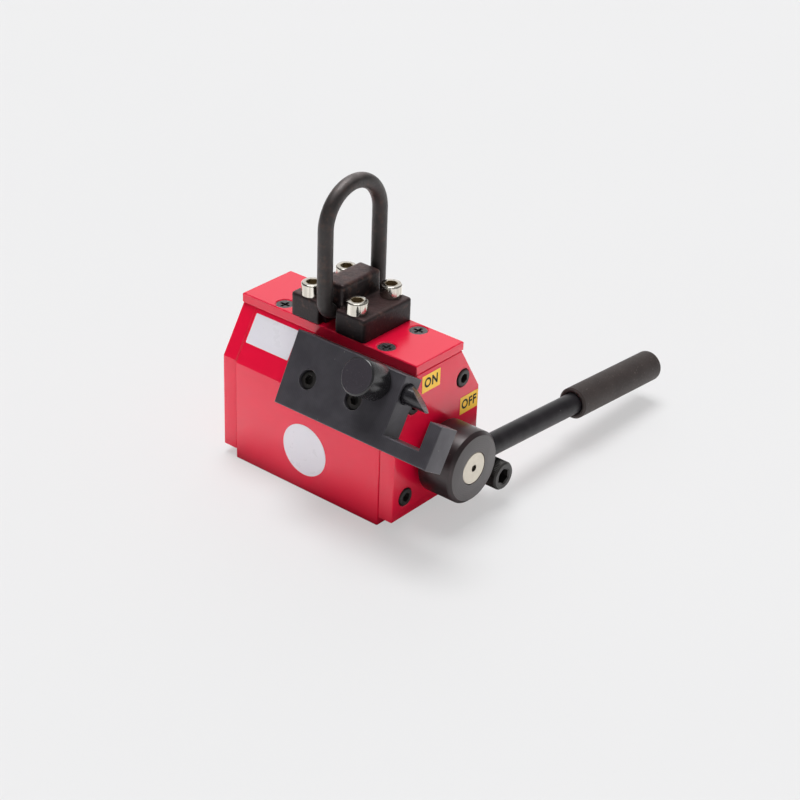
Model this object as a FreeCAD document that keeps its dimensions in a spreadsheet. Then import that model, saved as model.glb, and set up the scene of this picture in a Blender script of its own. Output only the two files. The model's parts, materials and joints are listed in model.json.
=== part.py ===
import FreeCAD, Part
import os
import re
import Sketcher

# Permanent magnetic lifter with a swing lever, a spring latch and a lifting ring.
# Millimetres. X runs along the body towards the lever, Y to the rear, Z up.
# The origin is the middle of the holding face under the poles.

Vector = FreeCAD.Vector

# Driving dimensions, one cell each.
SIZES = {
    # Magnet body
    "pole_length": 105,
    "pole_width": 72,
    "pole_gap": 12,
    "body_height": 89,
    "shoulder_top_width": 37.6,
    "shoulder_angle": 31.5,
    "end_plate_thickness": 10,
    "end_plate_width": 71,
    "end_plate_foot": 5.2,
    "top_plate_thickness": 5.5,
    "top_plate_overhang": 0.7,
    "seam_chamfer": 0.5,
    # Rotor, its flanges and bearings
    "axis_height": 35,
    "rotor_diameter": 52,
    "rotor_air_gap": 0.3,
    "rotor_magnet_thickness": 14,
    "journal_flange_diameter": 46,
    "journal_flange_thickness": 4,
    "journal_stub_length": 6.5,
    "shaft_diameter": 18.5,
    "shaft_chamfer": 0.4,
    "centre_hole_diameter": 4,
    "centre_hole_depth": 5,
    "bush_wall": 3.5,
    "bush_lip": 2.5,
    "bush_flange_thickness": 4,
    "left_bush_length": 7,
    "end_play": 0.3,
    # Fits
    "running_clearance": 0.05,
    "thread_clearance": 0.1,
    "head_clearance": 0.5,
    "blind_clearance": 1,
    # Cap screws of the end plates and the latch block
    "plate_screw_thread": 6,
    "plate_screw_head": 10,
    "plate_screw_rise": 6,
    "plate_screw_key": 5,
    "plate_screw_length": 20,
    "plate_counterbore": 5.2,
    "upper_screw_offset": 20.6,
    "upper_screw_drop": 17.2,
    "lower_screw_offset": 25,
    "lower_screw_wall": 4.3,
    # Countersunk screws of the top plate
    "top_screw_thread": 6,
    "top_screw_head": 10,
    "top_screw_length": 18,
    "top_screw_sink": 0.5,
    "top_screw_place": 36.5,
    "top_screw_edge": 6.3,
    # Countersunk screws of the rotor flanges
    "rotor_screw_thread": 4,
    "rotor_screw_head": 7.4,
    "rotor_screw_length": 12,
    "rotor_screw_sink": 0,
    "rotor_screw_edge": 5.8,
    "rotor_screw_angle": 35.5,
    # Saddle and lifting ring
    "saddle_length": 52.4,
    "saddle_overhang": 0.3,
    "saddle_height": 13.4,
    "saddle_corner": 2,
    "saddle_edge": 1.45,
    "bridge_width": 15,
    "bridge_height": 25.8,
    "bridge_end_round": 2.2,
    "bridge_side_round": 2,
    "bridge_foot_round": 1.5,
    "notch_width": 12.4,
    "notch_depth": 4.3,
    "saddle_screw_thread": 8,
    "saddle_screw_head": 12,
    "saddle_screw_rise": 7.1,
    "saddle_screw_key": 6,
    "saddle_screw_length": 30,
    "saddle_screw_end": 10.2,
    "saddle_screw_edge": 5.9,
    "saddle_screw_turn": 35,
    "ring_bar": 8.5,
    "ring_gap": 2.05,
    "ring_rise": 47.9,
    "ring_corner": 7.5,
    "ring_seat": 9.4,
    "ring_clearance": 0.3,
    # Latch block, hung from the top edge of the front shoulder
    "latch_gap": 1.16,
    "latch_height": 41,
    "latch_length": 73,
    "latch_end_skew": 2.2,
    "latch_thickness": 15,
    "latch_notch": 23.4,
    "latch_tab_width": 8.1,
    "latch_tab_height": 24.2,
    "latch_arm": 8,
    "latch_chamfer": 0.5,
    "latch_screw_end": 15.5,
    "latch_screw_pitch": 31.9,
    "latch_screw_drop": 13.5,
    "latch_screw_length": 16,
    "latch_counterbore": 7.5,
    # Latch bolt, knob and spring
    "bolt_diameter": 10.5,
    "bolt_drop": 9.4,
    "bolt_throw": 14.8,
    "bolt_length": 44.3,
    "bolt_bevel": 13.6,
    "bolt_bevel_turn": 11,
    "bolt_nose": 1,
    "bolt_travel": 14,
    "bore_mouth": 0.8,
    "knob_setback": 16.3,
    "knob_diameter": 20.5,
    "knob_length": 18,
    "knob_chamfer": 0.8,
    "knob_clearance": 0.3,
    "stud_diameter": 7,
    "stud_sink": 2,
    "spring_room": 30.5,
    "spring_wire": 1.1,
    "spring_turns": 7,
    # Lever
    "hub_diameter": 41.5,
    "hub_length": 21.8,
    "hub_chamfer": 2,
    "rod_diameter": 12.6,
    "rod_droop": 4.4,
    "rod_spigot": 8,
    "rod_seat": 2,
    "rod_inset": 4,
    "grip_wall": 2.85,
    "grip_start": 105.5,
    "grip_length": 80,
    "grip_lip": 1,
    "grip_round": 1.8,
    # Stop screw under the lever
    "stop_screw_thread": 10,
    "stop_screw_head": 16.3,
    "stop_screw_rise": 10,
    "stop_screw_key": 8,
    "stop_proud": 1,
    "stop_hub_gap": 2.4,
    "stop_clearance": 0.1,
}

# Places and sizes that follow from the driving dimensions.
PLACES = {
    # Body and rotor
    "pole_half": "pole_length / 2",
    "end_face": "pole_half + end_plate_thickness",
    "pole_bend": "body_height - (pole_width - shoulder_top_width) / 2 / tan(shoulder_angle)",
    "plate_bend": "body_height - (end_plate_width - shoulder_top_width) / 2 / tan(shoulder_angle)",
    "top_plate_width": "shoulder_top_width + 2 * top_plate_overhang",
    "top_face": "body_height + top_plate_thickness",
    "bore_radius": "rotor_diameter / 2 + rotor_air_gap",
    "flange_face": "pole_half - end_play",
    "core_half": "flange_face - journal_flange_thickness",
    "bush_radius": "shaft_diameter / 2 + running_clearance + bush_wall",
    "rotor_screw_circle": "journal_flange_diameter / 2 - rotor_screw_edge",
    "rotor_screw_offset": "rotor_screw_circle * cos(rotor_screw_angle)",
    "rotor_screw_rise": "rotor_screw_circle * sin(rotor_screw_angle)",
    # Screws of the plates
    "plate_grip": "end_plate_thickness - plate_counterbore",
    "upper_screw_height": "body_height - upper_screw_drop",
    "lower_screw_circle": "bore_radius + lower_screw_wall",
    "lower_screw_height": "axis_height - sqrt(lower_screw_circle ^ 2 - lower_screw_offset ^ 2)",
    "top_screw_offset": "top_plate_width / 2 - top_screw_edge",
    # Lever and its stop
    "hub_inner": "end_face + bush_flange_thickness + end_play",
    "hub_outer": "hub_inner + hub_length",
    "rod_place": "hub_inner + hub_length / 2",
    "rod_end": "grip_start + grip_length - rod_inset",
    "grip_radius": "rod_diameter / 2 + thread_clearance + grip_wall",
    "stop_underhead": "hub_outer + stop_proud - stop_screw_rise",
    "stop_across": "rod_diameter / 2 + stop_screw_head / 2 + stop_clearance",
    "stop_distance": "hub_diameter / 2 + stop_screw_head / 2 + stop_hub_gap",
    "stop_along": "sqrt(stop_distance ^ 2 - stop_across ^ 2)",
    "stop_reach": "stop_along * cos(rod_droop) - stop_across * sin(rod_droop)",
    "stop_height": "axis_height - stop_along * sin(rod_droop) - stop_across * cos(rod_droop)",
    # Saddle and ring
    "saddle_width": "top_plate_width + 2 * saddle_overhang",
    "bridge_length": "saddle_width - 2 * notch_depth",
    "saddle_screw_place": "saddle_length / 2 - saddle_screw_end",
    "saddle_screw_offset": "saddle_width / 2 - saddle_screw_edge",
    "ring_axis": "top_face + ring_seat",
    "ring_spacing": "bridge_length + 2 * ring_gap + ring_bar",
    # Latch
    "latch_foot": "-latch_gap - latch_height",
    "latch_wall": "rod_place - latch_notch / 2",
    "latch_tab": "rod_place + latch_notch / 2",
    "latch_reach": "latch_tab + latch_tab_width",
    "latch_left": "latch_wall - latch_length",
    "latch_screw_first": "latch_left + latch_screw_end",
    "latch_screw_second": "latch_screw_first + latch_screw_pitch",
    "latch_screw_rise": "bolt_rise - latch_screw_drop",
    "bolt_rise": "latch_height - bolt_drop",
    "bolt_tip": "latch_wall + bolt_throw",
    "bolt_tail": "bolt_tip - bolt_length",
    "bolt_bore_end": "bolt_tail - spring_room",
    "knob_place": "latch_wall - knob_setback",
}

# Turns that point a hole or a screw along an axis: turning axis and angle.
ALONG = {
    "+x": ((0, 1, 0), "90"),
    "-x": ((0, 1, 0), "-90"),
    "+y": ((1, 0, 0), "-90"),
    "-y": ((1, 0, 0), "90"),
    "+z": ((1, 0, 0), "0"),
    "saddle screw": ((0, 0, 1), "saddle_screw_turn"),
    "-z": ((1, 0, 0), "180"),
    "into shoulder": ((1, 0, 0), "270 - shoulder_angle"),
    "off shoulder": ((1, 0, 0), "90 - shoulder_angle"),
    "lever": ((1, 0, 0), "-rod_droop"),
}

doc = FreeCAD.newDocument("magnetic_lifter")
sizes = doc.addObject("Spreadsheet::Sheet", "Sizes")
places = doc.addObject("Spreadsheet::Sheet", "Places")
HOME = {name: "Sizes." for name in SIZES} | {name: "Places." for name in PLACES}
parts = []


def linked(text, own=""):
    """Write each size's name in an expression with its sheet in front."""
    def lead(word):
        home = HOME.get(word[0], "")
        return word[0] if home == own else home + word[0]
    return re.sub(r"[a-z_]+", lead, text)


def value(text):
    return float(places.evalExpression(linked(text)))


def bind(thing, **expressions):
    for name, text in expressions.items():
        thing.setExpression(name.replace("__", "."), linked(text))


def set_place(thing, at, along="+z"):
    """Place a thing by three expressions and one of the named turns."""
    axis, angle = ALONG[along]
    thing.Placement = FreeCAD.Placement(Vector(), FreeCAD.Rotation(Vector(*axis), value(angle)))
    bind(thing, Placement__Rotation__Angle=angle)
    bind(thing, Placement__Base__x=at[0], Placement__Base__y=at[1], Placement__Base__z=at[2])


def on_shoulder(along_body, rise, lift):
    """Point on the front shoulder: along the body, up the slope from the latch's foot, and out of it."""
    slope = f"(latch_foot + {rise})"
    return (
        along_body,
        f"-shoulder_top_width / 2 + {slope} * sin(shoulder_angle) - ({lift}) * cos(shoulder_angle)",
        f"body_height + {slope} * cos(shoulder_angle) + ({lift}) * sin(shoulder_angle)",
    )


def new_body(label, at=("0", "0", "0"), along="+z", keep=True):
    body = doc.addObject("PartDesign::Body", label)
    body.Label = label
    set_place(body, at, along)
    if keep:
        parts.append(body)
    return body


def new_sketch(body, plane, offset="0"):
    sketch = body.newObject("Sketcher::SketchObject", body.Label + "_sketch")
    support = next(f for f in body.Origin.OriginFeatures if f.Role == plane)
    sketch.AttachmentSupport = (support, [""])
    sketch.MapMode = "FlatFace"
    bind(sketch, AttachmentOffset__Base__z=offset)
    return sketch


def hold(sketch, kind, text, *where):
    number = sketch.addConstraint(Sketcher.Constraint(kind, *where, value(text)))
    sketch.setExpression(f"Constraints[{number}]", linked(text))


def hold_point(sketch, geometry, end, x, y):
    hold(sketch, "DistanceX", x, -1, 1, geometry, end)
    hold(sketch, "DistanceY", y, -1, 1, geometry, end)


def draw_polygon(sketch, corners):
    first = sketch.GeometryCount
    spots = [Vector(value(x), value(y), 0) for x, y in corners]
    count = len(corners)
    for i in range(count):
        sketch.addGeometry(Part.LineSegment(spots[i], spots[(i + 1) % count]))
    for i in range(count):
        sketch.addConstraint(Sketcher.Constraint("Coincident", first + i, 2, first + (i + 1) % count, 1))
    for i, (x, y) in enumerate(corners):
        hold_point(sketch, first + i, 1, x, y)


def draw_circle(sketch, x, y, radius):
    spot = Vector(value(x), value(y), 0)
    number = sketch.addGeometry(Part.Circle(spot, Vector(0, 0, 1), value(radius)))
    hold_point(sketch, number, 3, x, y)
    hold(sketch, "Radius", radius, number)


def pad(body, sketch, length, side="One side"):
    feature = body.newObject("PartDesign::Pad", body.Label + "_pad")
    feature.Profile = sketch
    feature.SideType = side
    bind(feature, Length=length)
    return feature


def pocket(body, sketch, length):
    feature = body.newObject("PartDesign::Pocket", body.Label + "_pocket")
    feature.Profile = sketch
    feature.SideType = "Symmetric"
    bind(feature, Length=length)
    return feature


def revolve(body, plane, axis, corners):
    sketch = new_sketch(body, plane)
    draw_polygon(sketch, corners)
    feature = body.newObject("PartDesign::Revolution", body.Label + "_turned")
    feature.Profile = sketch
    feature.ReferenceAxis = (sketch, [axis])
    feature.Angle = 360
    return feature


def drill(body, at, along, radius, depth):
    hole = body.newObject("PartDesign::SubtractiveCylinder", body.Label + "_hole")
    bind(hole, Radius=radius, Height=depth)
    set_place(hole, at, along)


def sink(body, at, along, start_radius, end_radius, depth):
    hole = body.newObject("PartDesign::SubtractiveCone", body.Label + "_sink")
    bind(hole, Radius1=start_radius, Radius2=end_radius, Height=depth)
    set_place(hole, at, along)


def cut_box(body, at, length, width, height):
    box = body.newObject("PartDesign::SubtractiveBox", body.Label + "_slot")
    bind(box, Length=length, Width=width, Height=height)
    set_place(box, at)


def dress(body, kind, amount, test):
    """Chamfer or fillet the edges of the body so far that pass the test."""
    doc.recompute()
    base = body.Tip
    names = [f"Edge{i}" for i, edge in enumerate(base.Shape.Edges, 1) if test(edge)]
    feature = body.newObject("PartDesign::" + kind, body.Label + "_" + kind.lower())
    feature.Base = (base, names)
    bind(feature, **{"Size" if kind == "Chamfer" else "Radius": amount})


def near(a, b):
    return abs(a - b) < 1e-4


def flat_at(edge, axis, place):
    """Whether the whole edge lies at one place on an axis."""
    box = edge.BoundBox
    return near(getattr(box, axis + "Min"), place) and near(getattr(box, axis + "Max"), place)


def group(label, prototype, seats, at=("0", "0", "0"), along="+z"):
    """One node of like screws: separate copies of a prototype at their seats."""
    copies = []
    for place, direction in seats:
        copy = doc.addObject("App::Link", label + "_copy")
        copy.LinkedObject = prototype
        set_place(copy, place, direction)
        copies.append(copy)
    compound = doc.addObject("Part::Compound", label)
    compound.Label = label
    compound.Links = copies
    set_place(compound, at, along)
    parts.append(compound)


def cap_screw(label, family, length, at=("0", "0", "0"), along="+z", keep=False):
    """Socket head screw: its bearing face is at the body's origin, its head along Z."""
    screw = new_body(label, at, along, keep)
    thread = f"{family}_thread"
    head = f"{family}_head / 2"
    rise = f"{family}_rise"
    revolve(screw, "XZ_Plane", "V_Axis", [
        ("0", f"-({length})"),
        (f"{thread} * 0.4", f"-({length})"),
        (f"{thread} / 2", f"-({length}) + {thread} * 0.1"),
        (f"{thread} / 2", "0"),
        (head, "0"),
        (head, f"{rise} * 0.92"),
        (f"{head} - {rise} * 0.08", rise),
        ("0", rise),
    ])
    socket = screw.newObject("PartDesign::SubtractivePrism", label + "_socket")
    socket.Polygon = 6
    bind(socket, Circumradius=f"{family}_key / 2 / cos(30)", Height=f"{rise} * 0.55")
    set_place(socket, ("0", "0", f"{rise} * 0.45"))
    return screw


def sunk_screw(label, family):
    """Countersunk screw: the top of its head is at the body's origin."""
    screw = new_body(label, keep=False)
    thread = f"{family}_thread / 2"
    head = f"{family}_head / 2"
    revolve(screw, "XZ_Plane", "V_Axis", [
        ("0", f"-{family}_length"),
        (thread, f"-{family}_length"),
        (thread, f"{thread} - {head}"),
        (head, "0"),
        ("0", "0"),
    ])
    arm = f"{family}_head * 0.62"
    slot = f"{family}_head * 0.17"
    depth = f"{family}_head * 0.13"
    cut_box(screw, (f"-({arm}) / 2", f"-({slot}) / 2", f"-({depth})"), arm, slot, depth)
    cut_box(screw, (f"-({slot}) / 2", f"-({arm}) / 2", f"-({depth})"), slot, arm, depth)
    return screw


def sink_hole(body, at, along, family, depth):
    """Countersunk hole for a sunk screw of the family, its head at or just below the face."""
    head = f"{family}_head / 2 + thread_clearance + {family}_sink"
    thread = f"{family}_thread / 2 + thread_clearance"
    sink(body, at, along, head, thread, f"({family}_head - {family}_thread) / 2 + {family}_sink")
    drill(body, at, along, thread, depth)


def signs(*axes):
    """Every combination of minus and plus for the given number of axes."""
    spots = [()]
    for axis in axes:
        spots = [spot + (f"{sign} * {axis}",) for spot in spots for sign in (-1, 1)]
    return spots


def end_screw_spots(side):
    upper = (f"{side} * upper_screw_offset", "upper_screw_height")
    lower = (f"{side} * lower_screw_offset", "lower_screw_height")
    return [upper, lower]


doc.recompute()
for sheet, cells in ((sizes, SIZES), (places, PLACES)):
    for row, (name, content) in enumerate(cells.items(), 1):
        formula = isinstance(content, str)
        sheet.set(f"A{row}", name)
        sheet.setAlias(f"B{row}", name)
        sheet.set(f"B{row}", "=" + linked(content, "Places.") if formula else str(content))
doc.recompute()

# Steel poles: one profile either side of the gap, bored for the rotor.
THREAD_HOLE = "{0}_thread / 2 + thread_clearance"
PLATE_HOLE = THREAD_HOLE.format("plate_screw")
PLATE_HOLE_DEPTH = "plate_screw_length - plate_grip + blind_clearance"
TOP_HOLE_DEPTH = "top_screw_length + top_screw_sink - top_plate_thickness + blind_clearance"
SADDLE_GRIP = "saddle_height + top_plate_thickness"
SADDLE_HOLE_DEPTH = f"saddle_screw_length - ({SADDLE_GRIP}) + blind_clearance"
LATCH_HOLE_DEPTH = "latch_screw_length - latch_thickness + latch_counterbore + blind_clearance"


def make_pole(label, side):
    body = new_body(label)
    outline = new_sketch(body, "YZ_Plane")
    draw_polygon(outline, [
        (f"{side} * pole_gap / 2", "0"),
        (f"{side} * pole_width / 2", "0"),
        (f"{side} * pole_width / 2", "pole_bend"),
        (f"{side} * shoulder_top_width / 2", "body_height"),
        (f"{side} * pole_gap / 2", "body_height"),
    ])
    pad(body, outline, "pole_length", "Symmetric")

    def on_seam(edge):
        at_end = flat_at(edge, "X", value("pole_half")) or flat_at(edge, "X", -value("pole_half"))
        outside = all(abs(v.Y) > value("shoulder_top_width / 2") - 1e-4 for v in edge.Vertexes)
        return at_end and outside and edge.BoundBox.ZLength > 1e-3

    dress(body, "Chamfer", "seam_chamfer", on_seam)
    drill(body, ("-pole_half", "0", "axis_height"), "+x", "bore_radius", "pole_length")
    for y, z in end_screw_spots(side):
        drill(body, ("-pole_half", y, z), "+x", PLATE_HOLE, PLATE_HOLE_DEPTH)
    right_spots = end_screw_spots(side) if side < 0 else end_screw_spots(side)[:1]
    for y, z in right_spots:
        drill(body, ("pole_half", y, z), "-x", PLATE_HOLE, PLATE_HOLE_DEPTH)
    for (x,) in signs("top_screw_place"):
        at = (x, f"{side} * top_screw_offset", "body_height")
        drill(body, at, "-z", THREAD_HOLE.format("top_screw"), TOP_HOLE_DEPTH)
    for (x,) in signs("saddle_screw_place"):
        at = (x, f"{side} * saddle_screw_offset", "body_height")
        drill(body, at, "-z", THREAD_HOLE.format("saddle_screw"), SADDLE_HOLE_DEPTH)
    return body


front_pole = make_pole("front_pole", -1)
for x in ("latch_screw_first", "latch_screw_second"):
    at = on_shoulder(x, "latch_screw_rise", "0")
    drill(front_pole, at, "into shoulder", PLATE_HOLE, LATCH_HOLE_DEPTH)
make_pole("rear_pole", 1)

# Non-magnetic strip at the holding face and fixed magnet above the rotor.
for label, bottom, top in (
    ("pole_spacer", "0", "axis_height - bore_radius - end_play"),
    ("stator_magnet", "axis_height + bore_radius + end_play", "body_height"),
):
    slab = new_body(label)
    section = new_sketch(slab, "YZ_Plane")
    draw_polygon(section, [
        ("-pole_gap / 2", bottom), ("pole_gap / 2", bottom), ("pole_gap / 2", top), ("-pole_gap / 2", top),
    ])
    pad(slab, section, "pole_length", "Symmetric")


# End plates: the body's outline on a raised foot, counterbored for the screws.
def make_end_plate(label, end, screw_spots):
    body = new_body(label)
    outline = new_sketch(body, "YZ_Plane", "pole_half" if end > 0 else "-end_face")
    draw_polygon(outline, [
        ("-end_plate_width / 2", "end_plate_foot"),
        ("end_plate_width / 2", "end_plate_foot"),
        ("end_plate_width / 2", "plate_bend"),
        ("shoulder_top_width / 2", "body_height"),
        ("-shoulder_top_width / 2", "body_height"),
        ("-end_plate_width / 2", "plate_bend"),
    ])
    pad(body, outline, "end_plate_thickness")

    def on_rim(edge):
        if flat_at(edge, "X", end * value("end_face")):
            return True
        inner = flat_at(edge, "X", end * value("pole_half"))
        return inner and edge.BoundBox.ZMin < value("body_height") - 1e-3

    dress(body, "Chamfer", "seam_chamfer", on_rim)
    inward = "-x" if end > 0 else "+x"
    outer = f"{end} * end_face"
    for y, z in screw_spots:
        head_hole = "plate_screw_head / 2 + head_clearance"
        drill(body, (outer, y, z), inward, head_hole, "plate_counterbore")
        drill(body, (outer, y, z), inward, PLATE_HOLE, "end_plate_thickness")
    return body


left_spots = end_screw_spots(-1) + end_screw_spots(1)
right_spots = end_screw_spots(-1) + end_screw_spots(1)[:1]
left_plate = make_end_plate("left_end_plate", -1, left_spots)
drill(left_plate, ("-pole_half", "0", "axis_height"), "-x", "bush_radius", "left_bush_length")
right_plate = make_end_plate("right_end_plate", 1, right_spots)
drill(right_plate, ("pole_half", "0", "axis_height"), "+x", "bush_radius", "end_plate_thickness")
STOP_HOLE = THREAD_HOLE.format("stop_screw")
drill(right_plate, ("pole_half", "stop_reach", "stop_height"), "+x", STOP_HOLE, "end_plate_thickness")

# Top plate with sunk screws, drilled through for the saddle screws.
top_plate = new_body("top_plate")
outline = new_sketch(top_plate, "XY_Plane", "body_height")
draw_polygon(outline, [
    ("-end_face", "-top_plate_width / 2"),
    ("end_face", "-top_plate_width / 2"),
    ("end_face", "top_plate_width / 2"),
    ("-end_face", "top_plate_width / 2"),
])
pad(top_plate, outline, "top_plate_thickness")


def on_plate_edge(edge):
    at_end = near(abs(edge.BoundBox.XMin), value("end_face")) and edge.BoundBox.XLength < 1e-3
    return flat_at(edge, "Z", value("top_face")) or at_end and flat_at(edge, "Z", value("body_height"))


dress(top_plate, "Chamfer", "seam_chamfer", on_plate_edge)
for x, y in signs("top_screw_place", "top_screw_offset"):
    sink_hole(top_plate, (x, y, "top_face"), "-z", "top_screw", "top_plate_thickness")
for x, y in signs("saddle_screw_place", "saddle_screw_offset"):
    at = (x, y, "top_face")
    drill(top_plate, at, "-z", THREAD_HOLE.format("saddle_screw"), "top_plate_thickness")

# Screws of the plates.
plate_screw = cap_screw("plate_screw", "plate_screw", "plate_screw_length")
seat_right = "end_face - plate_counterbore"
group("left_end_screws", plate_screw, [((f"-({seat_right})", y, z), "-x") for y, z in left_spots])
group("right_end_screws", plate_screw, [((seat_right, y, z), "+x") for y, z in right_spots])
top_screw = sunk_screw("top_screw", "top_screw")
top_seats = [
    ((x, y, "top_face - top_screw_sink"), "+z") for x, y in signs("top_screw_place", "top_screw_offset")
]
group("top_plate_screws", top_screw, top_seats)

# Forged saddle: four lobes round a bridge, with a tunnel that holds the ring's bar.
saddle = new_body("saddle_block", ("0", "0", "top_face"))
base = new_sketch(saddle, "XY_Plane")
draw_polygon(base, [
    ("-saddle_length / 2", "-saddle_width / 2"),
    ("saddle_length / 2", "-saddle_width / 2"),
    ("saddle_length / 2", "saddle_width / 2"),
    ("-saddle_length / 2", "saddle_width / 2"),
])
pad(saddle, base, "saddle_height")
dress(saddle, "Fillet", "saddle_corner", lambda edge: edge.BoundBox.ZLength > 1e-3)
dress(saddle, "Fillet", "saddle_edge", lambda edge: flat_at(edge, "Z", value("saddle_height")))
for y in ("-saddle_width / 2", "bridge_length / 2"):
    cut_box(saddle, ("-notch_width / 2", y, "0"), "notch_width", "notch_depth", "saddle_height")
bridge = new_sketch(saddle, "XY_Plane")
draw_polygon(bridge, [
    ("-bridge_width / 2", "-bridge_length / 2"),
    ("bridge_width / 2", "-bridge_length / 2"),
    ("bridge_width / 2", "bridge_length / 2"),
    ("-bridge_width / 2", "bridge_length / 2"),
])
pad(saddle, bridge, "bridge_height")


def on_bridge_end(edge):
    return flat_at(edge, "Z", value("bridge_height")) and edge.BoundBox.YLength < 1e-3


def on_bridge_side(edge):
    box = edge.BoundBox
    above = box.ZMin > value("saddle_height") + 1e-3
    return above and near(abs(box.XMin), value("bridge_width / 2")) and box.XLength < 1e-3


def on_bridge_foot(edge):
    along_side = near(abs(edge.BoundBox.XMin), value("bridge_width / 2")) and edge.BoundBox.XLength < 1e-3
    return along_side and flat_at(edge, "Z", value("saddle_height"))


dress(saddle, "Fillet", "bridge_end_round", on_bridge_end)
dress(saddle, "Fillet", "bridge_side_round", on_bridge_side)
dress(saddle, "Fillet", "bridge_foot_round", on_bridge_foot)
tunnel = "ring_bar / 2 + ring_clearance"
drill(saddle, ("0", "-bridge_length / 2", "ring_seat"), "+y", tunnel, "bridge_length")
corner = (f"-({tunnel})", "-bridge_length / 2", "0")
cut_box(saddle, corner, f"2 * ({tunnel})", "bridge_length", "ring_seat")
for x, y in signs("saddle_screw_place", "saddle_screw_offset"):
    drill(saddle, (x, y, "0"), "+z", THREAD_HOLE.format("saddle_screw"), "saddle_height")
saddle_screw = cap_screw("saddle_screw", "saddle_screw", "saddle_screw_length")
saddle_seats = [
    ((x, y, "top_face + saddle_height"), "saddle screw")
    for x, y in signs("saddle_screw_place", "saddle_screw_offset")
]
group("saddle_screws", saddle_screw, saddle_seats)

# Lifting ring: round bar bent to a link, round at the top and square at the saddle.
ring = new_body("lifting_ring", ("0", "0", "ring_axis"))
path = new_sketch(ring, "YZ_Plane")
half = value("ring_spacing / 2")
rise = value("ring_rise")
bend = value("ring_corner")
flat = half - bend
turn = 1.5707963267948966
normal = Vector(0, 0, 1)
path.addGeometry([
    Part.LineSegment(Vector(0, 0, 0), Vector(flat, 0, 0)),
    Part.ArcOfCircle(Part.Circle(Vector(flat, bend, 0), normal, bend), -turn, 0),
    Part.LineSegment(Vector(half, bend, 0), Vector(half, rise, 0)),
    Part.ArcOfCircle(Part.Circle(Vector(0, rise, 0), normal, half), 0, 2 * turn),
    Part.LineSegment(Vector(-half, rise, 0), Vector(-half, bend, 0)),
    Part.ArcOfCircle(Part.Circle(Vector(-flat, bend, 0), normal, bend), 2 * turn, 3 * turn),
    Part.LineSegment(Vector(-flat, 0, 0), Vector(0, 0, 0)),
])
BOTTOM, CORNER, LEG, TOP, FAR_LEG, FAR_CORNER, CLOSING = range(path.GeometryCount)
for run in range(CLOSING):
    path.addConstraint(Sketcher.Constraint("Tangent", run, 2, run + 1, 1))
path.addConstraint(Sketcher.Constraint("Coincident", BOTTOM, 1, -1, 1))
path.addConstraint(Sketcher.Constraint("Coincident", CLOSING, 2, -1, 1))
path.addConstraint(Sketcher.Constraint("Horizontal", BOTTOM))
path.addConstraint(Sketcher.Constraint("Vertical", LEG))
path.addConstraint(Sketcher.Constraint("Vertical", FAR_LEG))
hold(path, "Radius", "ring_corner", CORNER)
hold(path, "Radius", "ring_corner", FAR_CORNER)
hold(path, "Radius", "ring_spacing / 2", TOP)
hold(path, "DistanceY", "ring_rise", -1, 1, TOP, 3)
bar = new_sketch(ring, "XZ_Plane")
draw_circle(bar, "0", "0", "ring_bar / 2")
link = ring.newObject("PartDesign::AdditivePipe", "ring_sweep")
link.Profile = bar
link.Spine = (path, [])

# Latch block on the front shoulder: thick plate with a U-shaped notch for the lever.
latch = new_body("latch_block", on_shoulder("0", "0", "0"), "off shoulder")
outline = new_sketch(latch, "XY_Plane")
draw_polygon(outline, [
    ("latch_left", "0"),
    ("latch_reach", "0"),
    ("latch_reach", "latch_tab_height"),
    ("latch_tab", "latch_tab_height"),
    ("latch_tab", "latch_arm"),
    ("latch_wall", "latch_arm"),
    ("latch_wall", "latch_height"),
    ("latch_left - latch_end_skew", "latch_height"),
])
pad(latch, outline, "latch_thickness")
dress(latch, "Chamfer", "latch_chamfer", lambda edge: flat_at(edge, "Z", value("latch_thickness")))
bolt_lift = "latch_thickness / 2"
bolt_bore = "bolt_diameter / 2 + running_clearance"
drill(latch, ("bolt_bore_end", "bolt_rise", bolt_lift), "+x", bolt_bore, "latch_wall - bolt_bore_end")
mouth = ("latch_wall - bore_mouth", "bolt_rise", bolt_lift)
sink(latch, mouth, "+x", bolt_bore, f"{bolt_bore} + bore_mouth", "bore_mouth")
slot_half = "stud_diameter / 2 + knob_clearance"
for x in ("knob_place", "knob_place - bolt_travel"):
    drill(latch, (x, "bolt_rise", "latch_thickness"), "-z", slot_half, bolt_lift)
slot_corner = ("knob_place - bolt_travel", f"bolt_rise - ({slot_half})", bolt_lift)
cut_box(latch, slot_corner, "bolt_travel", f"2 * ({slot_half})", bolt_lift)
for x in ("latch_screw_first", "latch_screw_second"):
    at = (x, "latch_screw_rise", "latch_thickness")
    drill(latch, at, "-z", "plate_screw_head / 2 + head_clearance", "latch_counterbore")
    drill(latch, at, "-z", PLATE_HOLE, "latch_thickness")
latch_seats = [
    ((x, "latch_screw_rise", "latch_thickness - latch_counterbore"), "+z")
    for x in ("latch_screw_first", "latch_screw_second")
]
latch_screw = cap_screw("latch_screw", "plate_screw", "latch_screw_length")
group("latch_block_screws", latch_screw, latch_seats, on_shoulder("0", "0", "0"), "off shoulder")

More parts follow.
